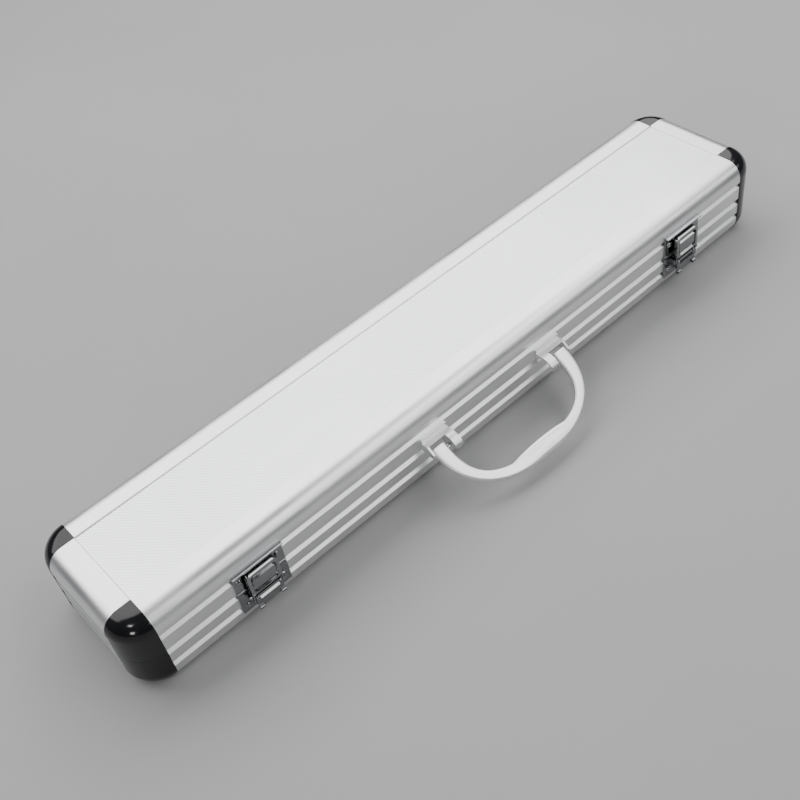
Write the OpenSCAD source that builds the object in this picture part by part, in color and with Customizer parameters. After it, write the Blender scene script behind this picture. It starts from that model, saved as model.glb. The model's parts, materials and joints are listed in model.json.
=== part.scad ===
// Long two-piece cue case: aluminium rails, black corner caps, embossed skins,
// foam inserts, two draw latches, a moulded carrying handle and three back hinges.
// Millimetres. +X runs along the case, the latches and the handle face -Y, +Z is up.

/* [Case] */
// Length over the side rails
case_l = 822; // [800:1:860]
// Width over the front and back rails
case_w = 153; // [148:1:160]
// Height of the top of the lid rails above the floor
case_h = 90; // [88:1:94]
// Height of the joint between base and lid
split_z = 44; // [43:0.5:45]
// Gap between base and lid at the joint
split_gap = 0.3; // [0.2:0.1:0.5]

/* [Rails] */
// Width of a rail seen from above
flange = 31; // [30:0.5:33]
// Radius of the long rounded edges
edge_r = 17.5; // [16:0.5:18]
// Wall thickness of the extrusion
rail_t = 1.8; // [1.6:0.1:2]
// Depth of the grooves and of the joint's chamfers
groove_d = 2.8; // [2.4:0.1:3]
// Height of a groove at the outer face
groove_w = 6.4; // [6:0.1:7]
// Height of the lid groove above the joint
lid_groove = 17.3; // [16.5:0.1:18]
// Depth of the base groove below the joint
base_groove = 16.1; // [15:0.1:17]

/* [Panels] */
// Depth of the skins below the rail lips
skin_drop = 1.2; // [1:0.1:1.5]
// Thickness of an embossed skin
skin_t = 0.6; // [0.4:0.1:0.8]
// Thickness of a backing board
board_t = 2.4; // [2:0.1:3]
// How far the panels run under the rail lips
panel_tuck = 8; // [6:0.5:9]

/* [Corners] */
// How far the caps stand proud of the rails
cap_proud = 0.4; // [0.2:0.1:0.6]
// Wall thickness of a cap
cap_t = 2.4; // [2:0.1:3]

/* [Foam] */
// Diameter of a butt channel
butt_d = 32; // [30:1:33]
// Diameter of a shaft channel
shaft_d = 22; // [20:1:23]
// Length of the cue channels
channel_l = 770; // [760:5:780]
// Thickness of the lid pad
pad_t = 28; // [20:1:30]

/* [Latches] */
// Distance of each latch from the middle of the case
latch_x = 281; // [270:1:300]
// Width of the latch plates
latch_w = 53; // [52:1:58]
// Thickness of the latch plates
plate_t = 1.5; // [1.2:0.1:1.8]

/* [Handle] */
// Distance of each bracket's middle from the middle of the case
bracket_x = 76; // [75:0.5:78]
// Width of a bracket
bracket_w = 31; // [30:0.5:32]
// Distance of the handle's pin in front of the case
handle_out = 14.5; // [14:0.5:16]
// Height of the handle's pin
handle_z = 46.7; // [46:0.1:48]
// Droop of the resting handle below the horizontal
handle_droop = 29; // [20:1:32]
// Reach of the handle from its pin
handle_reach = 66.3; // [60:0.1:68]
// Thickness of the handle's arms
handle_t = 6; // [5:0.5:6]
// Thickness of the handle's grip
grip_t = 9; // [8:0.5:10]

/* [Hinges] */
// Distance of the outer hinges from the middle of the case
hinge_x = 270; // [240:5:300]
// Distance of the hinge axis behind the case
hinge_out = 3; // [3:0.1:3.5]
// Radius of a hinge knuckle
knuckle_r = 2.9; // [2.6:0.1:3]

/* [Hidden] */

$fn = 64;
eps = 0.01;

// The origin is under the middle of the whole object, handle and hinges included
front_reach = handle_out + handle_reach * cos(handle_droop) + grip_t / 2 * sin(handle_droop);
back_reach = hinge_out + knuckle_r;
case_y = (front_reach - back_reach) / 2;

panel_l = case_l - 2 * flange;
panel_w = case_w - 2 * flange;
lid_h = case_h - split_z - split_gap;
base_h = split_z - cap_proud;
front_y = case_y - case_w / 2;
back_y = case_y + case_w / 2;
hinge_y = back_y + hinge_out;

// Joint edge of the rails: depth of the thick edge bar and of the base's flat land
edge_bar = 5.5;
base_land = 1.8;
tongue_u = [5.2, 6.6];
tongue_h = 4;

// Rivets and screws
rivet_r = 1.5;
rivet_head_r = 3.3;
rivet_head_h = 1.4;
rivet_tail_r = 2.4;
hole_lead = 3;
rivet_dx = 20;
catch_rivet_z = 60;
plate_rivet_z = 26.2;
screw_dx = 9;
screw_z = 53;

// Draw latch, as distance in front of the rail and height
pivot = [5.5, 38];
claw_pin = [4.3, 31.5];
pivot_pin_r = 1.3;
claw_pin_r = 1.1;
running = 0.05;
latch_wall = 1.5;
ear_x = 17;
lever_half = 14.2;
lever_face = [7.2, 8.8];
lever_z = [22, 39.3];
ridge_half = 10.2;
claw_half = 16.4;
claw_z = [42, 68.6];
claw_back = [5.4, 6.8];
claw_rim_out = 9.4;
claw_rim_w = 3.2;
// Raised field inside the rim
field_half = 12;
field_z = [47.6, 61.4];
field_out = 8.9;
catch_z = [46, 72.2];
catch_flange = 5.5;
catch_flange_t = 1.6;
hook_half = 14.5;
hook_z = 66.8;
hook_r = 2.9;
base_plate_z = 18.6;

// Hinges
leaf_w = 46;
leaf_h = 21;
leaf_t = 1.5;
hinge_pin_r = 1.2;
hinge_rivet_dx = 14;
hinge_rivet_dz = 10;
hinge_z = split_z + split_gap / 2;

// Foam block
foam_inset = 7;
foam_clear = 0.4;
butt_y = 48;
shaft_y = 14;
butt_bottom = 14;
shaft_bottom = 20;

aluminium = [0.80, 0.81, 0.83];
skin_silver = [0.86, 0.88, 0.92];
chrome = [0.75, 0.76, 0.78];
cap_black = [0.03, 0.03, 0.035];
handle_silver = [0.84, 0.84, 0.82];
foam_grey = [0.13, 0.13, 0.14];
board_brown = [0.45, 0.36, 0.26];

// ---- Placing helpers -------------------------------------------------------

// A shape drawn as (distance in front of the case, height), drawn out from x0 to x1
module on_front(x0, x1) {
    translate([x0, front_y, 0])
        mirror([0, 1, 0])
            rotate([90, 0, 90])
                linear_extrude(height = x1 - x0) children();
}

module both_sides() {
    children();
    mirror([1, 0, 0]) children();
}

module lid_frame() {
    translate([0, case_y, split_z + split_gap]) children();
}

module base_frame() {
    translate([0, case_y, split_z]) mirror([0, 0, 1]) children();
}

// ---- Rails -----------------------------------------------------------------

// Filled outline of a rail, drawn inwards by inset; x goes into the case, y away from the joint
module rail_outline(h, inset) {
    translate([inset, -eps])
        square([flange - inset + eps, h - edge_r + eps]);
    translate([edge_r, -eps])
        square([flange - edge_r + eps, h - inset + eps]);
    intersection() {
        translate([edge_r, h - edge_r]) circle(r = edge_r - inset);
        square([edge_r + eps, h]);
    }
}

module groove_outline(start) {
    polygon([
        [-1, start], [0, start],
        [groove_d, start + groove_d],
        [groove_d, start + groove_w - groove_d],
        [0, start + groove_w], [-1, start + groove_w],
    ]);
}

// Chamfered joint edge: the flat land of the given depth comes before the chamfer
module edge_outline(land) {
    polygon([
        [-1, -1], [groove_d, -1], [groove_d, land],
        [0, land + groove_d], [-1, land + groove_d],
    ]);
}

module rail_section(h, groove, land, tongue) {
    slot_top = h - skin_drop;
    slot_bottom = slot_top - skin_t - board_t;
    difference() {
        union() {
            difference() {
                rail_outline(h, 0);
                rail_outline(h, rail_t);
                translate([0, -1]) square([flange + 1, 1]);
            }
            // Back of the groove
            translate([0, groove - rail_t])
                square([groove_d + rail_t, groove_w + 2 * rail_t]);
            square([groove_d + rail_t, edge_bar]);
            // Channel that holds the panel
            translate([flange - panel_tuck - 2.2, slot_bottom - 1.6])
                square([panel_tuck + 2.2 - eps, 1.6]);
            translate([flange - panel_tuck - 2.2, slot_bottom - 1.6])
                square([1.8, h - rail_t - slot_bottom + 1.7]);
            // Tongue that keeps dust out of the joint
            if (tongue) {
                translate([groove_d + rail_t - eps, 0])
                    square([tongue_u[1] - groove_d - rail_t, 1.6]);
                translate([tongue_u[0], -tongue_h])
                    square([tongue_u[1] - tongue_u[0], tongue_h + 1.6]);
            }
        }
        groove_outline(groove);
        edge_outline(land);
        // Room for the panel under the lip, and a small chamfer along the lip
        translate([flange - panel_tuck - 0.3, slot_bottom])
            square([panel_tuck + 1, slot_top - slot_bottom]);
        translate([flange, h])
            rotate(45) square([1, 1], center = true);
    }
}

module lid_section() {
    rail_section(lid_h, lid_groove, 0, false);
}

module base_section() {
    rail_section(base_h, base_groove, base_land, true);
}

// A straight rail along the front edge; its children give the section
module long_rail() {
    translate([-panel_l / 2, -case_w / 2, 0])
        rotate([90, 0, 90]) linear_extrude(height = panel_l) children();
}

module short_rail() {
    translate([case_l / 2, -panel_w / 2, 0])
        rotate([90, 0, 180]) linear_extrude(height = panel_w) children();
}

// Rivet hole through the front wall and whatever is fixed on it
module wall_hole(x, z) {
    translate([x, front_y - hole_lead, z])
        rotate([-90, 0, 0]) cylinder(r = rivet_r + running, h = hole_lead + groove_d + rail_t + 1);
}

module back_hole(x, z) {
    translate([0, 2 * case_y, 0]) mirror([0, 1, 0]) wall_hole(x, z);
}

module hinge_places() {
    for (x = [-hinge_x, 0, hinge_x]) translate([x, 0, 0]) children();
}

module lid_rail_front() {
    color(aluminium) difference() {
        lid_frame() long_rail() lid_section();
        for (side = [-1, 1], dx = [-1, 1]) {
            wall_hole(side * latch_x + dx * rivet_dx, catch_rivet_z);
            wall_hole(side * bracket_x + dx * screw_dx, screw_z);
        }
    }
}

module lid_rail_back() {
    color(aluminium) difference() {
        lid_frame() mirror([0, 1, 0]) long_rail() lid_section();
        hinge_places() for (dx = [-1, 1]) back_hole(dx * hinge_rivet_dx, hinge_z + hinge_rivet_dz);
    }
}

module lid_rail_right() {
    color(aluminium) lid_frame() short_rail() lid_section();
}

module lid_rail_left() {
    color(aluminium) lid_frame() mirror([1, 0, 0]) short_rail() lid_section();
}

module base_rail_front() {
    color(aluminium) difference() {
        base_frame() long_rail() base_section();
        for (side = [-1, 1], dx = [-1, 1])
            wall_hole(side * latch_x + dx * rivet_dx, plate_rivet_z);
    }
}

module base_rail_back() {
    color(aluminium) difference() {
        base_frame() mirror([0, 1, 0]) long_rail() base_section();
        hinge_places() for (dx = [-1, 1]) back_hole(dx * hinge_rivet_dx, hinge_z - hinge_rivet_dz);
    }
}

module base_rail_right() {
    color(aluminium) base_frame() short_rail() base_section();
}

module base_rail_left() {
    color(aluminium) base_frame() mirror([1, 0, 0]) short_rail() base_section();
}

// ---- Corner caps and keys --------------------------------------------------

// Half section of a ball corner about the upright axis at the panel's corner
module cap_outline(h, grow) {
    translate([0, -eps]) square([flange + grow, h - edge_r + eps]);
    translate([0, -eps]) square([flange - edge_r, h + grow + eps]);
    translate([flange - edge_r, h - edge_r]) circle(r = edge_r + grow);
}

module cap_section(h) {
    intersection() {
        difference() {
            cap_outline(h, cap_proud);
            cap_outline(h, -cap_t);
            square([flange - edge_r, h - skin_drop + 0.1]);
        }
        square([flange + 1, h + 1]);
    }
}

module corner_cap(h) {
    translate([panel_l / 2 + eps, -panel_w / 2 - eps, 0])
        rotate([0, 0, -90])
            rotate_extrude(angle = 90) cap_section(h);
}

module lid_corner_fr() {
    color(cap_black) lid_frame() corner_cap(lid_h);
}

module lid_corner_fl() {
    color(cap_black) lid_frame() mirror([1, 0, 0]) corner_cap(lid_h);
}

module lid_corner_br() {
    color(cap_black) lid_frame() mirror([0, 1, 0]) corner_cap(lid_h);
}

module lid_corner_bl() {
    color(cap_black) lid_frame() mirror([1, 0, 0]) mirror([0, 1, 0]) corner_cap(lid_h);
}

module base_corner_fr() {
    color(cap_black) base_frame() corner_cap(base_h);
}

module base_corner_fl() {
    color(cap_black) base_frame() mirror([1, 0, 0]) corner_cap(base_h);
}

module base_corner_br() {
    color(cap_black) base_frame() mirror([0, 1, 0]) corner_cap(base_h);
}

module base_corner_bl() {
    color(cap_black) base_frame() mirror([1, 0, 0]) mirror([0, 1, 0]) corner_cap(base_h);
}

// Bent strap inside a corner that ties two rails together
module corner_key() {
    inner_r = flange - 6.6;
    outer_r = flange - 4.6 - 0.05;
    tail = 18;
    height = 8;
    translate([panel_l / 2, -panel_w / 2, 6.5]) {
        rotate([0, 0, -90])
            rotate_extrude(angle = 90)
                translate([inner_r, 0]) square([outer_r - inner_r, height]);
        translate([-tail, -outer_r, 0]) cube([tail, outer_r - inner_r, height]);
        translate([inner_r, 0, 0]) cube([outer_r - inner_r, tail, height]);
    }
}

module four_keys() {
    for (sx = [0, 1], sy = [0, 1])
        mirror([sx, 0, 0]) mirror([0, sy, 0]) corner_key();
}

module lid_corner_keys() {
    color(aluminium) lid_frame() four_keys();
}

module base_corner_keys() {
    color(aluminium) base_frame() four_keys();
}

// ---- Panels and foam -------------------------------------------------------

module panel_slab(thick) {
    translate([-panel_l / 2 - panel_tuck, -panel_w / 2 - panel_tuck, 0])
        cube([panel_l + 2 * panel_tuck, panel_w + 2 * panel_tuck, thick]);
}

module lid_skin() {
    color(skin_silver) lid_frame()
        translate([0, 0, lid_h - skin_drop - skin_t]) panel_slab(skin_t - eps);
}

module lid_board() {
    color(board_brown) lid_frame()
        translate([0, 0, lid_h - skin_drop - skin_t - board_t]) panel_slab(board_t);
}

module base_skin() {
    color(skin_silver) base_frame()
        translate([0, 0, base_h - skin_drop - skin_t]) panel_slab(skin_t - eps);
}

module base_board() {
    color(board_brown) base_frame()
        translate([0, 0, base_h - skin_drop - skin_t - board_t]) panel_slab(board_t);
}

foam_l = case_l - 2 * foam_inset;
foam_w = case_w - 2 * foam_inset;
lid_foam_top = case_h - skin_drop - skin_t - board_t - 1.6 - foam_clear;
base_foam_bottom = cap_proud + skin_drop + skin_t + board_t + 1.6 + foam_clear;

// Upright block with rounded corners that follow the caps
module foam_block(z0, z1) {
    corner = flange - foam_inset;
    translate([0, case_y, z0])
        linear_extrude(height = z1 - z0)
            difference() {
                square([foam_l, foam_w], center = true);
                for (sx = [-1, 1], sy = [-1, 1])
                    translate([sx * foam_l / 2, sy * foam_w / 2])
                        difference() {
                            square(2 * corner, center = true);
                            translate([-sx * corner, -sy * corner]) circle(r = corner);
                        }
            }
}

// The foam is cut back along its long edges where the rails curve in
module curve_relief(z) {
    relief = edge_r;
    translate([0, case_y, z])
        for (sy = [-1, 1])
            translate([0, sy * foam_w / 2, 0])
                rotate([45, 0, 0]) cube([case_l + 1, relief, relief], center = true);
    translate([0, case_y, z])
        for (sx = [-1, 1])
            translate([sx * foam_l / 2, 0, 0])
                rotate([0, 45, 0]) cube([relief, case_w + 1, relief], center = true);
}

module lid_foam() {
    color(foam_grey) difference() {
        foam_block(lid_foam_top - pad_t, lid_foam_top);
        curve_relief(lid_foam_top);
    }
}

// Round-bottomed channel for one cue piece, open upwards
module cue_channel(y, d, bottom) {
    axis_z = bottom + d / 2;
    translate([-channel_l / 2, case_y + y, axis_z])
        rotate([0, 90, 0]) cylinder(d = d, h = channel_l);
    translate([-channel_l / 2, case_y + y - d / 2, axis_z])
        cube([channel_l, d, split_z]);
}

// Cross cut where fingers lift the pieces
module finger_cut(x) {
    translate([x, case_y - foam_w / 2 + 12, split_z + 8])
        rotate([-90, 0, 0]) cylinder(r = 26, h = foam_w - 24);
}

module base_foam() {
    color(foam_grey) difference() {
        foam_block(base_foam_bottom, split_z - foam_clear);
        curve_relief(base_foam_bottom);
        for (side = [-1, 1]) {
            cue_channel(side * butt_y, butt_d, butt_bottom);
            cue_channel(side * shaft_y, shaft_d, shaft_bottom);
        }
        for (x = [-200, 200]) finger_cut(x);
    }
}

// ---- Draw latches ----------------------------------------------------------

// Domed rivet through the front wall; the tail is spread inside the case
module front_rivet(x, z, head_at, tail_at) {
    translate([x, front_y - head_at, z])
        rotate([-90, 0, 0]) {
            translate([0, 0, -0.4]) cylinder(r = rivet_head_r, h = 0.4);
            translate([0, 0, -0.4]) intersection() {
                translate([0, 0, 2.5]) sphere(r = 4);
                translate([0, 0, -rivet_head_h]) cylinder(r = rivet_head_r, h = rivet_head_h);
            }
            cylinder(r = rivet_r, h = head_at + tail_at);
            translate([0, 0, head_at + tail_at]) cylinder(r = rivet_tail_r, h = 1);
        }
}

// Rounded bar that the claw draws down
module hook_outline() {
    translate([plate_t - eps, hook_z])
        intersection() {
            circle(r = hook_r);
            translate([0, -hook_r]) square([hook_r, 2 * hook_r]);
        }
}

// Plate with a flange along its top and a rolled lower edge
module catch_outline() {
    flange_r = catch_flange_t / 2;
    translate([0, catch_z[0]]) square([plate_t, catch_z[1] - catch_z[0]]);
    translate([0, catch_z[1] - catch_flange_t]) square([catch_flange - flange_r, catch_flange_t]);
    translate([catch_flange - flange_r, catch_z[1] - flange_r]) circle(r = flange_r);
    translate([plate_t, catch_z[0] + 1]) circle(r = 1);
}

module catch_plate() {
    difference() {
        union() {
            on_front(-latch_w / 2, latch_w / 2) catch_outline();
            on_front(-hook_half, hook_half) hook_outline();
        }
        for (dx = [-1, 1]) wall_hole(dx * rivet_dx, catch_rivet_z);
    }
}

module latch_catch_left() {
    color(chrome) translate([-latch_x, 0, 0]) catch_plate();
}

module latch_catch_right() {
    color(chrome) translate([latch_x, 0, 0]) catch_plate();
}

module latch_catch_rivets() {
    color(chrome) for (side = [-1, 1], dx = [-1, 1])
        front_rivet(side * latch_x + dx * rivet_dx, catch_rivet_z, plate_t, groove_d + rail_t);
}

module pivot_ear() {
    difference() {
        union() {
            translate([plate_t - eps, pivot[1] - 3]) square([pivot[0] - plate_t, 6]);
            translate(pivot) circle(r = 3);
        }
        translate(pivot) circle(r = pivot_pin_r);
    }
}

module base_plate() {
    difference() {
        union() {
            on_front(-latch_w / 2, latch_w / 2)
                translate([0, base_plate_z]) square([plate_t, split_z - 0.3 - base_plate_z]);
            both_sides() on_front(ear_x, ear_x + latch_wall) pivot_ear();
        }
        for (dx = [-1, 1]) wall_hole(dx * rivet_dx, plate_rivet_z);
    }
}

module latch_plate_left() {
    color(chrome) translate([-latch_x, 0, 0]) base_plate();
}

module latch_plate_right() {
    color(chrome) translate([latch_x, 0, 0]) base_plate();
}

module latch_plate_rivets() {
    color(chrome) for (side = [-1, 1], dx = [-1, 1])
        front_rivet(side * latch_x + dx * rivet_dx, plate_rivet_z, plate_t, groove_d + rail_t);
}

// A pin along X, at a (distance, height) in front of the case
module cross_pin(at, r, x0, x1) {
    on_front(x0, x1) translate(at) circle(r = r);
}

module latch_pivot_pins() {
    color(chrome) for (side = [-1, 1])
        translate([side * latch_x, 0, 0]) {
            cross_pin(pivot, pivot_pin_r, -ear_x - latch_wall, ear_x + latch_wall);
            both_sides() cross_pin(pivot, 2, ear_x + latch_wall - eps, ear_x + latch_wall + 0.8);
        }
}

module lever_cheek() {
    difference() {
        union() {
            polygon([
                [2.8, 38], [lever_face[1], 39.3], [lever_face[1], 28],
                [lever_face[0], 26.5], [3.4, 29.2], [2, 32],
            ]);
            translate(pivot) circle(r = 2.7);
            translate(claw_pin) circle(r = 2.4);
        }
        translate(pivot) circle(r = pivot_pin_r + running);
        translate(claw_pin) circle(r = claw_pin_r);
    }
}

// Rolled tab at a lower corner of the lever
module curl_outline() {
    translate([lever_face[1] + 0.6, lever_z[0] + 0.9])
        difference() {
            circle(r = 1.9);
            circle(r = 0.9);
        }
}

module lever() {
    both_sides() on_front(lever_half - latch_wall, lever_half) lever_cheek();
    on_front(-lever_half, lever_half)
        translate([lever_face[0], lever_z[0]])
            square([lever_face[1] - lever_face[0], lever_z[1] - lever_z[0]]);
    // Stiffening ridge with a knob at each end
    on_front(-ridge_half, ridge_half)
        polygon([[8.7, 36], [8.7, 32.6], [10.4, 33.2], [10.4, 34.2]]);
    both_sides() translate([ridge_half + 1.8, front_y - lever_face[1], 36.8]) sphere(r = 1.6);
    both_sides() on_front(9.8, lever_half) curl_outline();
}

module latch_lever_left() {
    color(chrome) translate([-latch_x, 0, 0]) lever();
}

module latch_lever_right() {
    color(chrome) translate([latch_x, 0, 0]) lever();
}

module claw_arm() {
    difference() {
        union() {
            polygon([
                [7.2, 48], [8.8, 48], [8.8, 35.5], [6.6, 30], [4.3, 29.1],
                [4.3, 33.8], [7.2, 36],
            ]);
            translate(claw_pin) circle(r = 2.4);
        }
        translate(claw_pin) circle(r = claw_pin_r + running);
    }
}

// Rounded rectangle standing on the claw's face
module claw_raised(w, z0, z1, r, out0, out1) {
    translate([0, front_y - out0, 0])
        rotate([90, 0, 0])
            linear_extrude(height = out1 - out0) {
                translate([-w / 2 + r, z0]) square([w - 2 * r, z1 - z0]);
                translate([-w / 2, z0 + r]) square([w, z1 - z0 - 2 * r]);
                for (x = [-w / 2 + r, w / 2 - r], z = [z0 + r, z1 - r])
                    translate([x, z]) circle(r = r);
            }
}

// Field standing inside the rim, its upper edge sloping back
module claw_field() {
    intersection() {
        claw_raised(2 * field_half, field_z[0], field_z[1], 3, claw_back[1] - eps, field_out);
        on_front(-field_half, field_half)
            polygon([
                [claw_back[1] - 1, field_z[0]], [field_out, field_z[0]],
                [field_out, field_z[1] - 1.5], [field_out - 1.6, field_z[1]],
                [claw_back[1] - 1, field_z[1]],
            ]);
    }
}

// Room inside the rim; the lower bar of the rim slopes into it
module claw_window() {
    half = claw_half - claw_rim_w;
    low = claw_z[0] + claw_rim_w;
    claw_raised(2 * half, low, claw_z[1] - claw_rim_w, 3, claw_back[1] - 1, claw_rim_out + 1);
    on_front(-half + 3, half - 3)
        polygon([
            [claw_rim_out - 1.6, low], [claw_rim_out + 1, low - 2.5],
            [claw_rim_out + 1, low + 1], [claw_rim_out - 1.6, low + 1],
        ]);
}

// Face with a raised rim and a raised field inside it, on two arms
module claw() {
    rim_w = 2 * claw_half;
    both_sides() on_front(claw_half - latch_wall, claw_half) claw_arm();
    claw_raised(rim_w, claw_z[0], claw_z[1], 5, claw_back[0], claw_back[1]);
    difference() {
        claw_raised(rim_w, claw_z[0], claw_z[1], 5, claw_back[1] - eps, claw_rim_out);
        claw_window();
    }
    claw_field();
}

module latch_claw_left() {
    color(chrome) translate([-latch_x, 0, 0]) claw();
}

module latch_claw_right() {
    color(chrome) translate([latch_x, 0, 0]) claw();
}

module claw_cross_pin() {
    cross_pin(claw_pin, claw_pin_r, -claw_half - 0.3, claw_half + 0.3);
}

module latch_claw_pin_left() {
    color(chrome) translate([-latch_x, 0, 0]) claw_cross_pin();
}

module latch_claw_pin_right() {
    color(chrome) translate([latch_x, 0, 0]) claw_cross_pin();
}

// ---- Handle ----------------------------------------------------------------

pin_at = [handle_out, handle_z];
bracket_in = bracket_x - bracket_w / 2;
bracket_end = bracket_x + bracket_w / 2;
arm_w = 9;
arm_t = 2.2;
arm_r = 15;
arm_out = 11;
arm_end_angle = 25;
cheek_w = 2;
hood_z = [51.5, 54.5];
hood_out = 9;
handle_pin_r = 1.5;
bracket_plate_t = 2;

// Side view of the walls that hold the pin
module cheek_outline() {
    polygon([
        [bracket_plate_t - eps, split_z + 1], [handle_out, handle_z - 3.2],
        [handle_out + 2, handle_z + 2.4], [hood_out, hood_z[1]], [bracket_plate_t - eps, hood_z[1]],
    ]);
    translate(pin_at) circle(r = 3.2);
}

// Side view of the arm that curves out and down beside the handle's end
module arm_outline() {
    translate([hood_out - eps, hood_z[1] - arm_t]) square([arm_out - hood_out + 2 * eps, arm_t]);
    translate([arm_out, hood_z[1] - arm_r])
        intersection() {
            difference() {
                circle(r = arm_r);
                circle(r = arm_r - arm_t);
            }
            polygon([
                [0, 0], [arm_r + 1, (arm_r + 1) * tan(arm_end_angle)],
                [arm_r + 1, arm_r + 1], [0, arm_r + 1],
            ]);
        }
}

module bracket() {
    difference() {
        union() {
            on_front(bracket_in, bracket_end)
                translate([0, split_z + 1]) square([bracket_plate_t, 14]);
            on_front(bracket_in, bracket_end)
                translate([bracket_plate_t - eps, hood_z[0]])
                    square([hood_out - bracket_plate_t + eps, hood_z[1] - hood_z[0]]);
            on_front(bracket_in, bracket_in + arm_w) arm_outline();
            on_front(bracket_in + arm_w - cheek_w, bracket_in + arm_w) cheek_outline();
            on_front(bracket_end - cheek_w, bracket_end) cheek_outline();
        }
        on_front(bracket_in, bracket_end + 1) translate(pin_at) circle(r = handle_pin_r);
        for (dx = [-1, 1])
            translate([bracket_x + dx * screw_dx, front_y + 1, screw_z])
                rotate([90, 0, 0]) cylinder(r = rivet_r, h = bracket_plate_t + 0.6);
    }
}

module handle_bracket_right() {
    color(aluminium) bracket();
}

module handle_bracket_left() {
    color(aluminium) mirror([1, 0, 0]) bracket();
}

module handle_screws() {
    color(chrome) for (side = [-1, 1], dx = [-1, 1])
        translate([side * bracket_x + dx * screw_dx, front_y - bracket_plate_t + 0.4, screw_z])
            rotate([-90, 0, 0]) {
                cylinder(r = rivet_r - eps, h = bracket_plate_t - 0.4 + rail_t);
                translate([0, 0, bracket_plate_t - 0.4 + rail_t]) cylinder(r = 3, h = 1.8);
            }
}

module handle_pins() {
    color(chrome) both_sides()
        cross_pin(pin_at, handle_pin_r, bracket_in + arm_w - cheek_w, bracket_end);
}

// Half of a superellipse above the X axis, as a list of points
function arch(a, b, n) = [
    for (i = [0 : 48]) let (t = 180 * i / 48, c = cos(t), s = sin(t))
        [a * sign(c) * pow(abs(c), 2 / n), b * pow(s, 2 / n)]
];

handle_half_w = 89;
opening_half_w = 74;
heel = 4;
grip_half_l = 42;
grip_bow_r = 180;
grip_w = 17.4;
// The outline's arch starts this far behind the pin
arch_start = -2.2;

module handle_outer() {
    translate([0, arch_start]) polygon(arch(handle_half_w, handle_reach - arch_start, 2.3));
    translate([-handle_half_w, -heel]) square([2 * handle_half_w, heel + arch_start + eps]);
}

module handle_opening() {
    translate([0, arch_start]) polygon(arch(opening_half_w, handle_reach - arch_start - 12.5, 3));
    translate([-opening_half_w, -heel - 1]) square([2 * opening_half_w, heel + 1 + arch_start + eps]);
}

module grip_outline() {
    intersection() {
        handle_outer();
        translate([0, handle_reach - grip_w + grip_bow_r]) circle(r = grip_bow_r, $fn = 180);
        translate([-grip_half_l, 0]) square([2 * grip_half_l, handle_reach]);
    }
}

module handle() {
    color(handle_silver)
        translate([0, front_y - handle_out, handle_z])
            rotate([180 + handle_droop, 0, 0])
                difference() {
                    union() {
                        translate([0, 0, -handle_t / 2])
                            linear_extrude(height = handle_t)
                                difference() {
                                    handle_outer();
                                    handle_opening();
                                }
                        translate([0, 0, -grip_t / 2])
                            linear_extrude(height = grip_t) grip_outline();
                    }
                    translate([-handle_half_w - 1, 0, 0])
                        rotate([0, 90, 0]) cylinder(r = handle_pin_r + 0.06, h = 2 * handle_half_w + 2);
                }
}

// ---- Hinges ----------------------------------------------------------------

// A tube along X at the hinge axis
module knuckle(x0, x1) {
    translate([x0, hinge_y, hinge_z])
        rotate([0, 90, 0]) difference() {
            cylinder(r = knuckle_r, h = x1 - x0);
            translate([0, 0, -1]) cylinder(r = hinge_pin_r + running, h = x1 - x0 + 2);
        }
}

// Flat leaf on the back of the case; up = 1 for the lid, -1 for the base
module leaf(up) {
    near = up > 0 ? hinge_z + 3.2 : hinge_z - 3.2 - leaf_h + 3;
    difference() {
        translate([-leaf_w / 2, back_y, near]) cube([leaf_w, leaf_t, leaf_h - 3]);
        for (dx = [-1, 1]) back_hole(dx * hinge_rivet_dx, hinge_z + up * hinge_rivet_dz);
    }
}

// Strip that joins a knuckle to its leaf
module leaf_strip(up, x0, x1) {
    z0 = up > 0 ? hinge_z : hinge_z - 3.3;
    difference() {
        translate([x0, back_y + 0.1, z0]) cube([x1 - x0, leaf_t, 3.3]);
        translate([x0 - 1, hinge_y, hinge_z])
            rotate([0, 90, 0]) cylinder(r = hinge_pin_r + running, h = x1 - x0 + 2);
    }
}

module hinge_leaf_lid() {
    color(chrome) hinge_places() {
        leaf(1);
        knuckle(-7.5, 7.5);
        leaf_strip(1, -7.5, 7.5);
    }
}

module hinge_leaf_base() {
    color(chrome) hinge_places() {
        leaf(-1);
        both_sides() {
            knuckle(7.9, 22);
            leaf_strip(-1, 7.9, 22);
        }
    }
}

module hinge_pins() {
    color(chrome) hinge_places()
        translate([-22.6, hinge_y, hinge_z]) rotate([0, 90, 0]) cylinder(r = hinge_pin_r, h = 45.2);
}

module back_rivet(x, z) {
    translate([0, 2 * case_y, 0])
        mirror([0, 1, 0]) front_rivet(x, z, leaf_t, rail_t);
}

module hinge_rivets_lid() {
    color(chrome) hinge_places() for (dx = [-1, 1])
        back_rivet(dx * hinge_rivet_dx, hinge_z + hinge_rivet_dz);
}

module hinge_rivets_base() {
    color(chrome) hinge_places() for (dx = [-1, 1])
        back_rivet(dx * hinge_rivet_dx, hinge_z - hinge_rivet_dz);
}

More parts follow.
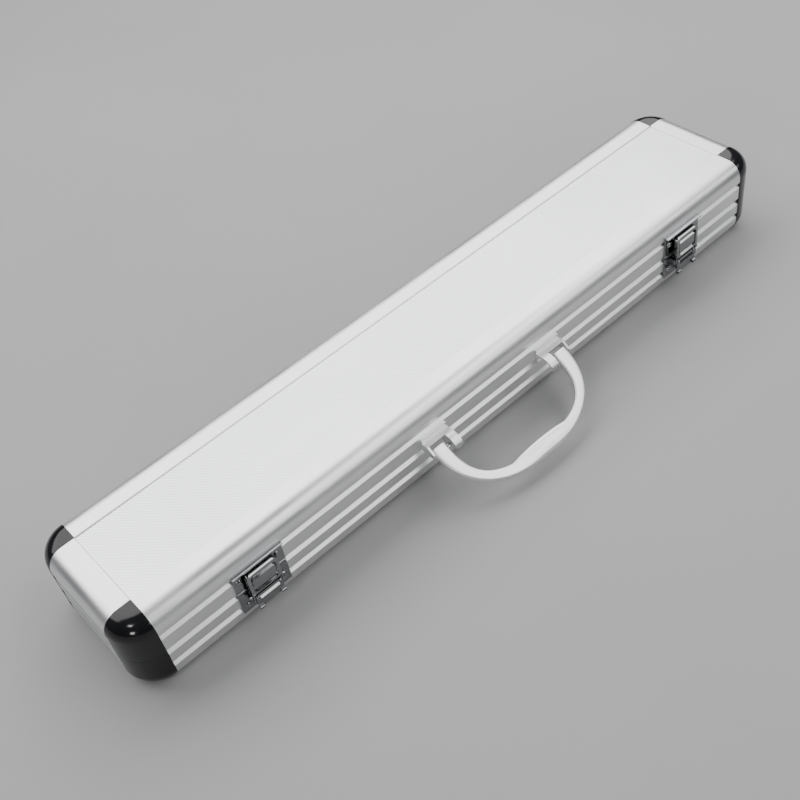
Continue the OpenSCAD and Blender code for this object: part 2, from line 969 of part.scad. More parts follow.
lid_rail_front();
lid_rail_back();
lid_rail_left();
lid_rail_right();
lid_corner_fl();
lid_corner_fr();
lid_corner_bl();
lid_corner_br();
lid_corner_keys();
lid_skin();
lid_board();
lid_foam();
latch_catch_left();
latch_catch_right();
latch_catch_rivets();
handle_bracket_left();
handle_bracket_right();
handle_screws();
handle_pins();
handle();
base_rail_front();
base_rail_back();
base_rail_left();
base_rail_right();
base_corner_fl();
base_corner_fr();
base_corner_bl();
base_corner_br();
base_corner_keys();
base_skin();
base_board();
base_foam();
latch_plate_left();
latch_plate_right();
latch_plate_rivets();
latch_pivot_pins();
latch_lever_left();
latch_lever_right();
latch_claw_left();
latch_claw_right();
latch_claw_pin_left();
latch_claw_pin_right();
hinge_leaf_lid();
hinge_leaf_base();
hinge_pins();
hinge_rivets_lid();
hinge_rivets_base();
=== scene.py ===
"""Looks of the cue case: satin aluminium rails, embossed skins with painted shade in their grooves, gloss
black corners, chrome draw latches with a dark tint that paints in the dark surroundings they mirror, a
moulded handle and foam inserts, around the fixed CAD frame.

Lengths are in metres, in the row frame: +X along the case, -Y towards the handle, +Z up.
"""

import json
import math

import bpy
import numpy as np
from mathutils import Matrix, Vector


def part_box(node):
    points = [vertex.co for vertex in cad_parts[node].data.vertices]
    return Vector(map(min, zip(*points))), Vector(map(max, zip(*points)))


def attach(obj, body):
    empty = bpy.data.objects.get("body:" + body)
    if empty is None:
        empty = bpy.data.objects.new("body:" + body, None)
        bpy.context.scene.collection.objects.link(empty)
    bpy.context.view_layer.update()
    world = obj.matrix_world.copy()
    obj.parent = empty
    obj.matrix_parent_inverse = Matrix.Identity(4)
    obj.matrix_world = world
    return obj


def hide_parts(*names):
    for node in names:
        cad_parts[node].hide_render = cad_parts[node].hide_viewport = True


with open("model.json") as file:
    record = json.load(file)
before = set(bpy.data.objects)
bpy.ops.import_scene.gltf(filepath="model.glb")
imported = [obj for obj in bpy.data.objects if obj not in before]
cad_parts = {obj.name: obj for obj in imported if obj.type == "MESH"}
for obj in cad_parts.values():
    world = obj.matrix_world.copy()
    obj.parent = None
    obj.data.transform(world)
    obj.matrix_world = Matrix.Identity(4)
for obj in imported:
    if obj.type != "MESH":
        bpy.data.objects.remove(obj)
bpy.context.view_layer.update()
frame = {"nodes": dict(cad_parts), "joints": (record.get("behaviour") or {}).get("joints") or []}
nodes = frame["nodes"]

MM = 0.001

# ---- Camera ----------------------------------------------------------------

# Place and turn of the camera: the columns are its right, up and back directions
CAMERA_PLACE = Vector((-0.4819, -0.6004, 0.8317))
CAMERA_RIGHT = Vector((0.7347, -0.6652, -0.1331))
CAMERA_UP = Vector((0.5578, 0.4807, 0.6765))
SENSOR_WIDTH = 36.0
FOCAL_LENGTH = 50.7

# ---- Lights ----------------------------------------------------------------

WORLD_COLOUR = (0.85, 0.90, 1.0, 1.0)
WORLD_STRENGTH = 0.07

# What the strips and the small lamps point at: a place near the middle of the case, and its near corner
CASE_MIDDLE = (0.1, 0, 0.05)
NEAR_CORNER = (-0.39, -0.03, 0.08)

# Name, place, what it points at, size and power in watts
SOFT_LIGHTS = (
    ("overhead_back", (0.20, 1.15, 1.60), (0.1, 0.05, 0), (4.0, 1.6), 74),
    ("strip_high", (0.80, -0.60, 1.52), CASE_MIDDLE, (2.4, 0.75), 17),
    ("strip_low", (0.80, -1.35, 1.00), CASE_MIDDLE, (2.4, 0.32), 7.5),
    ("lamp_high", (-1.24, -0.46, 1.38), NEAR_CORNER, (0.26, 0.26), 4),
    ("lamp_low", (-1.50, -1.00, 0.50), NEAR_CORNER, (0.26, 0.26), 4),
)

# ---- Sizes repeated from the CAD part --------------------------------------

# Embossing of the skins: distance between the lines of the diamond pattern, and its height
EMBOSS_PITCH = 3.0 * MM
EMBOSS_HEIGHT = 0.28 * MM
SKIN_SAMPLES_PER_PITCH = 7

# Shape of the pattern: steepness of the deep and the shallow grooves, and height left in the shallow ones
DEEP_STEEPNESS = 1.5
SHALLOW_STEEPNESS = 1.2
SHALLOW_FLOOR = 0.45

# Mesh attribute that tells the skin's material how high each point of the pattern is, so that the material
# can paint shade into the grooves
RELIEF = "relief"

# Lid pad: distance between its peaks, the depth of its hollows and the flat band along its edge
PAD_PITCH = 24 * MM
PAD_DEPTH = 13 * MM
PAD_EDGE = 6 * MM
PAD_COLUMNS = 420
PAD_ROW_STEP = 2 * MM

# Foam faces: how far they sit below the CAD block's face, and how uneven they are
FOAM_SETBACK = 0.2 * MM
FOAM_UNEVEN = 0.1 * MM

# Base insert: half width and bottom height of each kind of channel, and their places from the middle
BUTT_HALF_W = 16 * MM
BUTT_BOTTOM = 14 * MM
BUTT_Y = 48 * MM
SHAFT_HALF_W = 11 * MM
SHAFT_BOTTOM = 20 * MM
SHAFT_Y = 14 * MM
CHANNEL_HALF_L = 385 * MM
FINGER_X = 200 * MM
FINGER_R = 26 * MM
FINGER_CENTRE_Z = 52 * MM
FINGER_INSET = 12 * MM
FOAM_CORNER_R = 24 * MM
FOAM_CHAMFER = 11 * MM
FOAM_EDGE_R = 1.6 * MM

# Mesh of the base insert: spacing of its rows and columns, and of the pair of rows at each steep wall
ROW_STEP = 1.6 * MM
COLUMN_STEP = 3 * MM
WALL_INSIDE = 0.05 * MM
WALL_OUTSIDE = 0.35 * MM
WALL_STEP = 0.4 * MM

# Handle: droop at rest, reach from the pin, half widths outside and inside, grip and arm sizes
HANDLE_DROOP = math.radians(29)
HANDLE_REACH = 66.3 * MM
HANDLE_ARCH_START = -2.2 * MM
HANDLE_HEEL = -4.0 * MM
HANDLE_HALF_W = 89 * MM
OPENING_HALF_W = 74 * MM
OPENING_SHORT = 12.5 * MM
OUTER_POWER = 2.3
OPENING_POWER = 3.0
ARM_THICKNESS = 6 * MM
GRIP_THICKNESS = 9 * MM
GRIP_WIDTH = 17.4 * MM
GRIP_HALF_L = 38 * MM
GRIP_BOW = 3.4 * MM

# Handle section: power of its superellipse at the arms and at the grip, points around it, and
# steps along the arch
ARM_POWER = 5.0
GRIP_POWER = 2.8
RING_POINTS = 44
ARCH_STEPS = 96

# Crease along the grip: place and half width as shares of the grip's width, and depth
CREASE_ACROSS = 0.30
CREASE_HALF_W = 0.09
CREASE_DEPTH = 0.9 * MM


# ---- Node helpers ----------------------------------------------------------

class Shader:
    """A node material under construction, with Principled BSDF as its only surface."""

    def __init__(self, name):
        self.material = bpy.data.materials.new(name)
        self.material.use_nodes = True
        self.tree = self.material.node_tree
        self.surface = self.tree.nodes["Principled BSDF"]
        coordinates = self.tree.nodes.new("ShaderNodeTexCoord")
        self.position = coordinates.outputs["Object"]

    def set(self, **values):
        """Sets sockets of the surface; underscores stand for spaces."""
        for key, value in values.items():
            self.surface.inputs[key.replace("_", " ").title().replace("Ior", "IOR")].default_value = value
        return self

    def link(self, output, socket):
        self.tree.links.new(output, socket)

    def scaled(self, scale):
        """Object position stretched by a scale in each axis, in patterns per metre."""
        mapping = self.tree.nodes.new("ShaderNodeMapping")
        mapping.inputs["Scale"].default_value = scale
        self.link(self.position, mapping.inputs["Vector"])
        return mapping.outputs["Vector"]

    def noise(self, scale, detail=3.0, roughness=0.5):
        node = self.tree.nodes.new("ShaderNodeTexNoise")
        node.inputs["Scale"].default_value = 1.0
        node.inputs["Detail"].default_value = detail
        node.inputs["Roughness"].default_value = roughness
        self.link(self.scaled(scale), node.inputs["Vector"])
        return node.outputs["Fac"]

    def cells(self, scale):
        node = self.tree.nodes.new("ShaderNodeTexVoronoi")
        node.inputs["Scale"].default_value = 1.0
        self.link(self.scaled(scale), node.inputs["Vector"])
        return node.outputs["Distance"]

    def attribute(self, name):
        """A number that the mesh keeps at each point."""
        node = self.tree.nodes.new("ShaderNodeAttribute")
        node.attribute_name = name
        return node.outputs["Fac"]

    def ramp(self, value, stops):
        """Colours along a 0 to 1 value, as (place, colour) pairs."""
        node = self.tree.nodes.new("ShaderNodeValToRGB")
        elements = node.color_ramp.elements
        while len(elements) < len(stops):
            elements.new(0.5)
        for element, (place, colour) in zip(elements, stops):
            element.position = place
            element.color = (*colour, 1.0)
        self.link(value, node.inputs["Fac"])
        return node.outputs["Color"]

    def remap(self, value, low, high):
        node = self.tree.nodes.new("ShaderNodeMapRange")
        node.inputs["From Min"].default_value = 0.3
        node.inputs["From Max"].default_value = 0.7
        node.inputs["To Min"].default_value = low
        node.inputs["To Max"].default_value = high
        self.link(value, node.inputs["Value"])
        return node.outputs["Result"]

    def bump(self, value, depth, before=None):
        """Bumps the surface by depth metres, on top of an earlier bump."""
        node = self.tree.nodes.new("ShaderNodeBump")
        node.inputs["Strength"].default_value = 1.0
        node.inputs["Distance"].default_value = depth
        self.link(value, node.inputs["Height"])
        if before is not None:
            self.link(before, node.inputs["Normal"])
        return node.outputs["Normal"]

    def wear(self, value, stops, rough_low, rough_high):
        """Colour and roughness that vary with a value."""
        self.link(self.ramp(value, stops), self.surface.inputs["Base Color"])
        self.link(self.remap(value, rough_low, rough_high), self.surface.inputs["Roughness"])

    def finish_bump(self, normal):
        """Puts the bumps on the surface and gives the finished material."""
        self.link(normal, self.surface.inputs["Normal"])
        return self.material


# ---- Materials -------------------------------------------------------------

def anodised(name, along):
    """Satin anodised extrusion with faint die lines running along one axis."""
    shader = Shader(name).set(metallic=1.0)
    fine = [2600.0, 2600.0, 2600.0]
    fine["xyz".index(along)] = 9.0
    lines = shader.noise(fine, detail=2.0)
    grain = shader.noise((1800.0, 1800.0, 1800.0), detail=2.0)
    patches = shader.noise((14.0, 14.0, 14.0), detail=4.0)
    shader.wear(patches, [(0.25, (0.84, 0.845, 0.85)), (0.75, (0.90, 0.90, 0.905))], 0.34, 0.42)
    bumped = shader.bump(lines, 0.006 * MM)
    return shader.finish_bump(shader.bump(grain, 0.008 * MM, bumped))


def embossed_silver():
    """Pale lacquered sheet, a little bluer than the rails, with painted shade that darkens it down into
    the grooves of the pattern.
    """
    shader = Shader("embossed_silver").set(metallic=0.85)
    patches = shader.noise((9.0, 9.0, 9.0), detail=5.0)
    grain = shader.noise((2600.0, 2600.0, 2600.0), detail=2.0)
    shader.link(shader.remap(patches, 0.32, 0.40), shader.surface.inputs["Roughness"])
    # Painted shade: the base colour runs from pale on the pads to darker grey in the grooves
    colours = shader.ramp(shader.attribute(RELIEF), [(0.0, (0.58, 0.60, 0.64)), (0.8, (0.95, 0.96, 0.98))])
    shader.link(colours, shader.surface.inputs["Base Color"])
    return shader.finish_bump(shader.bump(grain, 0.01 * MM))


def gloss_black():
    """Black moulded plastic with a slight orange peel and a thin clear gloss."""
    shader = Shader("gloss_black").set(specular_ior_level=0.28, coat_weight=0.15, coat_roughness=0.05)
    smears = shader.noise((45.0, 45.0, 45.0), detail=5.0, roughness=0.6)
    peel = shader.noise((420.0, 420.0, 420.0), detail=1.0)
    shader.wear(smears, [(0.3, (0.006, 0.006, 0.007)), (0.75, (0.014, 0.014, 0.016))], 0.11, 0.20)
    return shader.finish_bump(shader.bump(peel, 0.02 * MM))


def chrome(name, tint, rough_low, rough_high):
    """Plated metal of a given tint, with faint polishing marks."""
    shader = Shader(name).set(metallic=1.0)
    marks = shader.noise((300.0, 900.0, 2400.0), detail=3.0)
    cloud = shader.noise((120.0, 120.0, 120.0), detail=4.0)
    dark = tuple(0.86 * c for c in tint)
    shader.wear(cloud, [(0.3, dark), (0.65, tint)], rough_low, rough_high)
    return shader.finish_bump(shader.bump(marks, 0.004 * MM))


def cast_silver():
    """Fine-grained cast metal with a silver coat, for the handle brackets."""
    shader = Shader("cast_silver").set(metallic=0.85)
    grain = shader.noise((1100.0, 1100.0, 1100.0), detail=3.0, roughness=0.6)
    cloud = shader.noise((80.0, 80.0, 80.0), detail=3.0)
    shader.wear(cloud, [(0.3, (0.72, 0.73, 0.72)), (0.7, (0.84, 0.845, 0.84))], 0.26, 0.38)
    return shader.finish_bump(shader.bump(grain, 0.02 * MM))


def handle_plastic():
    """Silver-white moulded plastic with a fine spark-eroded grain."""
    shader = Shader("handle_plastic").set(metallic=0.88, coat_weight=0.15, coat_roughness=0.3)
    grain = shader.noise((1500.0, 1500.0, 1500.0), detail=2.0)
    cloud = shader.noise((35.0, 35.0, 35.0), detail=4.0)
    shader.wear(cloud, [(0.3, (0.95, 0.95, 0.94)), (0.7, (0.98, 0.98, 0.97))], 0.32, 0.40)
    return shader.finish_bump(shader.bump(grain, 0.03 * MM))


def charcoal_foam():
    """Open-celled charcoal foam."""
    shader = Shader("charcoal_foam").set(sheen_weight=0.35, sheen_roughness=0.6, specular_ior_level=0.2)
    pores = shader.cells((900.0, 900.0, 900.0))
    cloud = shader.noise((500.0, 500.0, 500.0), detail=4.0, roughness=0.7)
    shader.wear(cloud, [(0.3, (0.022, 0.022, 0.024)), (0.7, (0.060, 0.060, 0.064))], 0.85, 0.98)
    return shader.finish_bump(shader.bump(pores, 0.35 * MM))


def fibreboard():
    """Pressed wood-fibre board, seen only at its edges."""
    shader = Shader("fibreboard")
    fibres = shader.noise((300.0, 300.0, 1500.0), detail=5.0, roughness=0.65)
    shader.wear(fibres, [(0.3, (0.20, 0.14, 0.09)), (0.7, (0.36, 0.27, 0.18))], 0.7, 0.9)
    return shader.finish_bump(shader.bump(fibres, 0.08 * MM))


RAIL_X = anodised("anodised_long", "x")
RAIL_Y = anodised("anodised_short", "y")
SKIN = embossed_silver()
BLACK = gloss_black()
# Painted reflection: the latch chrome's tint is kept dark to stand in for the dark surroundings that the
# chrome mirrors, not for a dark plating
LATCH = chrome("latch_chrome", (0.34, 0.345, 0.35), 0.06, 0.13)
HINGE = chrome("hinge_nickel", (0.74, 0.735, 0.72), 0.22, 0.32)
BRACKET = cast_silver()
HANDLE = handle_plastic()
FOAM = charcoal_foam()
BOARD = fibreboard()


# ---- Mesh helpers ----------------------------------------------------------

def paint(obj, material):
    obj.data.materials.clear()
    obj.data.materials.append(material)


def new_piece(name, vertices, faces, material, body, cad_nodes):
    """A shown piece that rides on a body and stands for the named CAD nodes."""
    mesh = bpy.data.meshes.new(name)
    mesh.from_pydata([tuple(v) for v in vertices], [], [tuple(f) for f in faces])
    mesh.update()
    obj = bpy.data.objects.new(name, mesh)
    bpy.context.scene.collection.objects.link(obj)
    paint(obj, material)
    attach(obj, body)
    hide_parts(*cad_nodes)
    return obj


def smooth(obj, angle_deg=None):
    """Smooth shading, kept sharp over an angle if one is given."""
    obj.data.polygons.foreach_set("use_smooth", [True] * len(obj.data.polygons))
    if angle_deg is not None:
        obj.data.set_sharp_from_angle(angle=math.radians(angle_deg))


def bevel(obj, width, segments=2, angle_deg=32):
    """Rounds the sharp edges of a CAD node without changing its mesh."""
    modifier = obj.modifiers.new("edge_round", "BEVEL")
    modifier.width = width
    modifier.segments = segments
    modifier.limit_method = "ANGLE"
    modifier.angle_limit = math.radians(angle_deg)
    modifier.harden_normals = False
    modifier.use_clamp_overlap = True


def relief_solid(xs_unit, ys, half_length, top, bottom):
    """Closed solid between two height fields.

    Each row at y spans x from -half_length(y) to +half_length(y) at the places xs_unit (-1 to 1).
    top and bottom take arrays of x and y.
    """
    x = np.outer([half_length(y) for y in ys], xs_unit)
    y = np.repeat(np.asarray(ys)[:, None], len(xs_unit), axis=1)
    rows, columns = x.shape
    upper = np.stack([x, y, top(x, y)], axis=-1).reshape(-1, 3)
    lower = np.stack([x, y, bottom(x, y)], axis=-1).reshape(-1, 3)
    index = np.arange(rows * columns).reshape(rows, columns)
    a = index[:-1, :-1].ravel()
    b = index[:-1, 1:].ravel()
    c = index[1:, 1:].ravel()
    d = index[1:, :-1].ravel()
    offset = rows * columns
    faces = [np.stack([a, b, c, d], axis=1), np.stack([d, c, b, a], axis=1) + offset]
    rim = np.concatenate([index[0, :], index[1:, -1], index[-1, -2::-1], index[-2:0:-1, 0]])
    following = np.roll(rim, -1)
    faces.append(np.stack([following, rim, rim + offset, following + offset], axis=1))
    return np.concatenate([upper, lower]), np.concatenate(faces)


def spaced(marks, step):
    """Even places from the first mark to the last, with every mark kept."""
    places = []
    for low, high in zip(marks[:-1], marks[1:]):
        count = max(1, round((high - low) / step))
        places.extend(np.linspace(low, high, count, endpoint=False))
    places.append(marks[-1])
    return np.array(places)


def middle(low, high):
    return 0.5 * (low + high)


# ---- Skins -----------------------------------------------------------------

def emboss(x, y):
    """Height of the pattern, 0 in its grooves and 1 on its pads; one set of grooves is shallower."""
    wave = math.pi / EMBOSS_PITCH / math.sqrt(2)
    deep = np.abs(np.sin(wave * (x + y)))
    shallow = np.abs(np.sin(wave * (x - y)))
    return np.minimum(1.0, np.minimum(DEEP_STEEPNESS * deep, SHALLOW_FLOOR + SHALLOW_STEEPNESS * shallow))


def embossed_sheet(name, node, body, outward):
    """Thin sheet with the pattern on its outward face: outward is +1 up or -1 down."""
    low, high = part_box(node)
    step = EMBOSS_PITCH * math.sqrt(2) / SKIN_SAMPLES_PER_PITCH
    half_l = 0.5 * (high.x - low.x)
    xs = np.linspace(-1, 1, round(2 * half_l / step))
    ys = np.linspace(low.y, high.y, round((high.y - low.y) / step))
    flat = low.z if outward > 0 else high.z
    face = high.z if outward > 0 else low.z

    def patterned(x, y):
        return face - outward * EMBOSS_HEIGHT * (1 - emboss(x, y))

    def plain(x, y):
        return np.full_like(x, flat)

    top, bottom = (patterned, plain) if outward > 0 else (plain, patterned)
    vertices, faces = relief_solid(xs, ys, lambda y: half_l, top, bottom)
    sheet = new_piece(name, vertices, faces, SKIN, body, [node])
    # Height of the pattern at each point, which the skin's material turns into painted shade in the low
    # grooves
    attribute = sheet.data.attributes.new(RELIEF, "FLOAT", "POINT")
    attribute.data.foreach_set("value", emboss(vertices[:, 0], vertices[:, 1]).astype(np.float32))
    smooth(sheet, 60)


# ---- Foam ------------------------------------------------------------------

def rounded_half_length(half_l, y_low, y_high, radius):
    """Half length of a row across a block whose upright corners are rounded."""
    def at(y):
        into = min(y - y_low, y_high - y)
        if into >= radius:
            return half_l
        return half_l - radius + math.sqrt(max(0.0, radius ** 2 - (radius - into) ** 2))
    return at


def edge_distance(x, y, half_l, y_low, y_high):
    return np.minimum(half_l - np.abs(x), np.minimum(y - y_low, y_high - y))


def ragged(x, y):
    """Slight unevenness of a cut foam face: long waves and half as high short ones."""
    long_waves = np.sin(310 * x + 90 * y) * np.sin(270 * y - 40 * x)
    short_waves = np.sin(900 * x + 1.3) * np.sin(830 * y)
    return FOAM_UNEVEN * (long_waves + 0.5 * short_waves)


def lid_pad():
    low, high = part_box("lid_foam")
    half_l = high.x
    middle_y = middle(low.y, high.y)
    half_length = rounded_half_length(half_l, low.y, high.y, FOAM_CORNER_R)
    xs = np.linspace(-1, 1, PAD_COLUMNS)
    ys = spaced([low.y, low.y + FOAM_CORNER_R, high.y - FOAM_CORNER_R, high.y], PAD_ROW_STEP)

    def convoluted(x, y):
        wave = np.cos(2 * math.pi * x / PAD_PITCH) * np.cos(2 * math.pi * (y - middle_y) / PAD_PITCH)
        fade = np.clip(edge_distance(x, y, half_l, low.y, high.y) / PAD_EDGE, 0, 1)
        return low.z + FOAM_SETBACK + PAD_DEPTH * 0.5 * (1 - wave * fade) + ragged(x, y)

    def back(x, y):
        edge = edge_distance(x, y, half_l, low.y, high.y)
        return high.z - np.clip(FOAM_CHAMFER - edge, 0, FOAM_CHAMFER)

    vertices, faces = relief_solid(xs, ys, half_length, back, convoluted)
    pad = new_piece("lid_pad", vertices, faces, FOAM, "lid", ["lid_foam"])
    smooth(pad, 50)


def insert_channels():
    """Place across the case, half width and bottom of every cue channel."""
    kinds = ((BUTT_Y, BUTT_HALF_W, BUTT_BOTTOM), (SHAFT_Y, SHAFT_HALF_W, SHAFT_BOTTOM))
    return [(side * place, half_w, bottom) for side in (-1, 1) for place, half_w, bottom in kinds]


def insert_rows(low, high, finger_half_y):
    """Rows across the insert, close together where a channel or finger cut has its walls."""
    middle_y = middle(low.y, high.y)
    marks = {low.y, high.y, low.y + FOAM_CORNER_R, high.y - FOAM_CORNER_R}
    for place, half_w, bottom in insert_channels():
        for side in (-1, 1):
            wall = middle_y + place + side * half_w
            marks |= {wall - side * WALL_INSIDE, wall + side * WALL_OUTSIDE, wall + side * FOAM_EDGE_R}
    for side in (-1, 1):
        wall = middle_y + side * finger_half_y
        marks |= {wall, wall + side * WALL_STEP}
    return spaced(sorted(marks), ROW_STEP)


def insert_columns(half_l, finger_half_x):
    """Columns along the insert, close together at the channel ends and the finger cuts."""
    marks = {-half_l, half_l}
    for side in (-1, 1):
        marks |= {side * (CHANNEL_HALF_L + extra) for extra in (0.0, WALL_STEP, FOAM_EDGE_R)}
        marks |= {side * FINGER_X + s * finger_half_x for s in (-1, 1)}
        marks |= {side * FINGER_X + s * (finger_half_x + FOAM_EDGE_R) for s in (-1, 1)}
    return spaced(sorted(marks), COLUMN_STEP)


def rounded_off(distance):
    """Drop of the foam's face near a cut edge, at a distance outside the cut."""
    inside = np.clip(FOAM_EDGE_R - distance, 0, FOAM_EDGE_R)
    return FOAM_EDGE_R - np.sqrt(FOAM_EDGE_R ** 2 - inside ** 2)


def base_insert():
    low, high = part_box("base_foam")
    half_l = high.x
    middle_y = middle(low.y, high.y)
    half_length = rounded_half_length(half_l, low.y, high.y, FOAM_CORNER_R)
    finger_half_y = high.y - middle_y - FINGER_INSET
    finger_half_x = math.sqrt(FINGER_R ** 2 - (FINGER_CENTRE_Z - high.z) ** 2)
    ys = insert_rows(low, high, finger_half_y)
    xs = insert_columns(half_l, finger_half_x) / half_l

    def cut_top(x, y):
        z = high.z - FOAM_SETBACK + ragged(x, y)
        beyond_end = np.abs(x) - CHANNEL_HALF_L
        for place, half_w, bottom in insert_channels():
            across = np.abs(y - middle_y - place)
            outside = np.maximum(across - half_w, beyond_end)
            trough = bottom + half_w - np.sqrt(np.clip(half_w ** 2 - across ** 2, 0, None))
            z = np.where(outside <= 0, np.minimum(z, trough), z - rounded_off(np.clip(outside, 0, None)))
        for side in (-1, 1):
            along = np.abs(x - side * FINGER_X)
            scoop = FINGER_CENTRE_Z - np.sqrt(np.clip(FINGER_R ** 2 - along ** 2, 0, None))
            inside = (np.abs(y - middle_y) <= finger_half_y) & (along < finger_half_x)
            z = np.where(inside, np.minimum(z, scoop), z)
        return np.maximum(z, BUTT_BOTTOM)

    def underside(x, y):
        edge = edge_distance(x, y, half_l, low.y, high.y)
        return low.z + np.clip(FOAM_CHAMFER - edge, 0, FOAM_CHAMFER)

    vertices, faces = relief_solid(xs, ys, half_length, cut_top, underside)
    insert = new_piece("base_insert", vertices, faces, FOAM, "base", ["base_foam"])
    smooth(insert, 40)


# ---- Handle ----------------------------------------------------------------

def superellipse(half_w, reach, power, angle):
    c, s = math.cos(angle), math.sin(angle)
    x = math.copysign(abs(c) ** (2 / power), c) * half_w
    return x, HANDLE_ARCH_START + (reach - HANDLE_ARCH_START) * abs(s) ** (2 / power)


def handle_stations():
    """Inner and outer edge of the handle and its thickness, from the right end to the left."""
    bow_radius = (GRIP_HALF_L ** 2 + GRIP_BOW ** 2) / (2 * GRIP_BOW)
    heels = (HANDLE_HEEL, middle(HANDLE_HEEL, HANDLE_ARCH_START))
    stations = []
    for along in heels:
        stations.append(((OPENING_HALF_W, along), (HANDLE_HALF_W, along), ARM_THICKNESS))
    for i in range(ARCH_STEPS + 1):
        angle = math.pi * i / ARCH_STEPS
        inner = superellipse(OPENING_HALF_W, HANDLE_REACH - OPENING_SHORT, OPENING_POWER, angle)
        outer = superellipse(HANDLE_HALF_W, HANDLE_REACH, OUTER_POWER, angle)
        blend = 0.0
        if abs(inner[0]) < GRIP_HALF_L:
            blend = 0.5 * (1 + math.cos(math.pi * inner[0] / GRIP_HALF_L))
            bowed = HANDLE_REACH - GRIP_WIDTH + inner[0] ** 2 / (2 * bow_radius)
            inner = (inner[0], min(inner[1], bowed))
        thick = ARM_THICKNESS + (GRIP_THICKNESS - ARM_THICKNESS) * math.sqrt(blend)
        stations.append((inner, outer, thick))
    for along in reversed(heels):
        stations.append(((-OPENING_HALF_W, along), (-HANDLE_HALF_W, along), ARM_THICKNESS))
    return stations


def handle_section(inner, outer, thick):
    """Points around one section, as (place along X, reach, lift), with the crease of the grip."""
    swell = (thick - ARM_THICKNESS) / (GRIP_THICKNESS - ARM_THICKNESS)
    power = ARM_POWER + (GRIP_POWER - ARM_POWER) * swell
    points = []
    for k in range(RING_POINTS):
        angle = 2 * math.pi * k / RING_POINTS
        c, s = math.cos(angle), math.sin(angle)
        across = 0.5 * (1 + math.copysign(abs(c) ** (2 / power), c))
        lift = 0.5 * thick * math.copysign(abs(s) ** (2 / power), s)
        from_crease = (across - CREASE_ACROSS) / CREASE_HALF_W
        lift -= math.copysign(CREASE_DEPTH * swell * math.exp(-from_crease ** 2), s)
        x = inner[0] + (outer[0] - inner[0]) * across
        reach = inner[1] + (outer[1] - inner[1]) * across
        points.append((x, reach, lift))
    return points


def tube_faces(rings, around):
    """Faces of a closed tube of rings, with both ends capped."""
    faces = []
    for ring in range(rings - 1):
        here, there = ring * around, (ring + 1) * around
        for k in range(around):
            n = (k + 1) % around
            faces.append((here + k, here + n, there + n, there + k))
    faces.append(tuple(range(around))[::-1])
    faces.append(tuple((rings - 1) * around + k for k in range(around)))
    return faces


def handle():
    """One moulded bow: a rounded section swept between the inner and the outer edge."""
    pivot = next(j for j in frame["joints"] if j["name"] == "handle_swing")["pos_m"]
    outward = Vector((0, -math.cos(HANDLE_DROOP), -math.sin(HANDLE_DROOP)))
    upward = Vector((0, -math.sin(HANDLE_DROOP), math.cos(HANDLE_DROOP)))
    origin = Vector((0, pivot[1], pivot[2]))
    stations = handle_stations()
    vertices = [origin + Vector((x, 0, 0)) + reach * outward + lift * upward
                for inner, outer, thick in stations
                for x, reach, lift in handle_section(inner, outer, thick)]
    faces = tube_faces(len(stations), RING_POINTS)
    bow = new_piece("handle_bow", vertices, faces, HANDLE, "handle", ["handle"])
    smooth(bow, 50)


# ---- CAD nodes that keep their shape ---------------------------------------

def smooth_cad(obj):
    """Normals that follow the large faces, so rounded edges shade cleanly."""
    modifier = obj.modifiers.new("soft_normals", "WEIGHTED_NORMAL")
    modifier.keep_sharp = True
    modifier.weight = 60


def dress_cad_nodes():
    for name, obj in nodes.items():
        if "rail" in name or name.endswith("corner_keys"):
            short = name.endswith(("left", "right"))
            paint(obj, RAIL_Y if short else RAIL_X)
            smooth_cad(obj)
        elif "_corner_" in name:
            paint(obj, BLACK)
            bevel(obj, 0.5 * MM, angle_deg=50)
            smooth_cad(obj)
        elif name.endswith("board"):
            paint(obj, BOARD)
        elif name.startswith("handle_bracket"):
            paint(obj, BRACKET)
            bevel(obj, 0.35 * MM)
            smooth_cad(obj)
        elif name.startswith("hinge"):
            paint(obj, HINGE)
            smooth_cad(obj)
        elif name.startswith(("latch", "handle_screws", "handle_pins")):
            paint(obj, LATCH)
            bevel(obj, 0.8 * MM if name.startswith("latch_claw_") else 0.4 * MM, segments=3)
            smooth_cad(obj)


# ---- Room ------------------------------------------------------------------

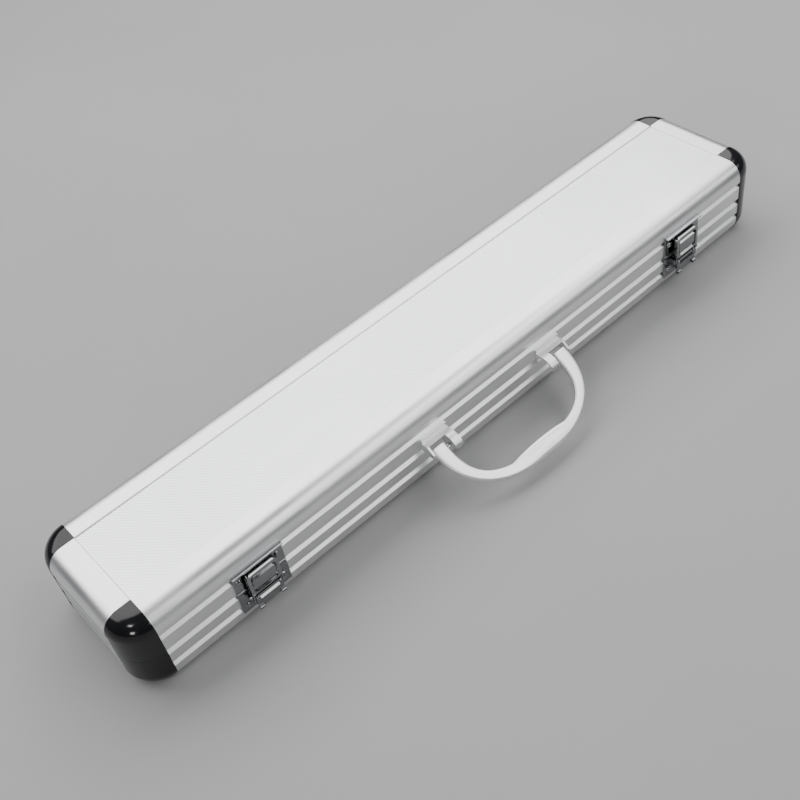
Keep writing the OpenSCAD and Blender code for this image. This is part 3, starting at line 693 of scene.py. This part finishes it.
def room():
    half = 6.0
    corners = [(-half, -half, 0), (half, -half, 0), (half, half, 0), (-half, half, 0)]
    floor_mesh = bpy.data.meshes.new("floor")
    floor_mesh.from_pydata(corners, [], [(0, 1, 2, 3)])
    floor = bpy.data.objects.new("floor", floor_mesh)
    bpy.context.scene.collection.objects.link(floor)
    shader = Shader("pale_floor")
    cloud = shader.noise((2.0, 2.0, 2.0), detail=3.0)
    shader.wear(cloud, [(0.3, (0.35, 0.35, 0.35)), (0.7, (0.38, 0.38, 0.38))], 0.75, 0.85)
    grain = shader.noise((300.0, 300.0, 300.0))
    paint(floor, shader.finish_bump(shader.bump(grain, 0.02 * MM)))


def soft_light(name, place, target, size, power):
    data = bpy.data.lights.new(name, "AREA")
    data.shape = "RECTANGLE"
    data.size, data.size_y = size
    data.energy = power
    lamp = bpy.data.objects.new(name, data)
    lamp.location = place
    lamp.rotation_euler = (Vector(target) - Vector(place)).to_track_quat("-Z", "Y").to_euler()
    bpy.context.scene.collection.objects.link(lamp)


def lights():
    world = bpy.data.worlds.new("studio")
    world.use_nodes = True
    background = world.node_tree.nodes["Background"]
    background.inputs["Color"].default_value = WORLD_COLOUR
    background.inputs["Strength"].default_value = WORLD_STRENGTH
    bpy.context.scene.world = world
    for name, place, target, size, power in SOFT_LIGHTS:
        soft_light(name, place, target, size, power)


def camera():
    data = bpy.data.cameras.new("camera")
    data.sensor_width = SENSOR_WIDTH
    data.lens = FOCAL_LENGTH
    data.clip_start = 0.01
    eye = bpy.data.objects.new("camera", data)
    right = CAMERA_RIGHT.normalized()
    back = right.cross(CAMERA_UP).normalized()
    up = back.cross(right)
    turn = Matrix((right, up, back)).transposed().to_4x4()
    eye.matrix_world = Matrix.Translation(CAMERA_PLACE) @ turn
    bpy.context.scene.collection.objects.link(eye)
    bpy.context.scene.camera = eye


dress_cad_nodes()
embossed_sheet("lid_skin_embossed", "lid_skin", "lid", 1)
embossed_sheet("base_skin_embossed", "base_skin", "base", -1)
lid_pad()
base_insert()
handle()
room()
lights()
camera()
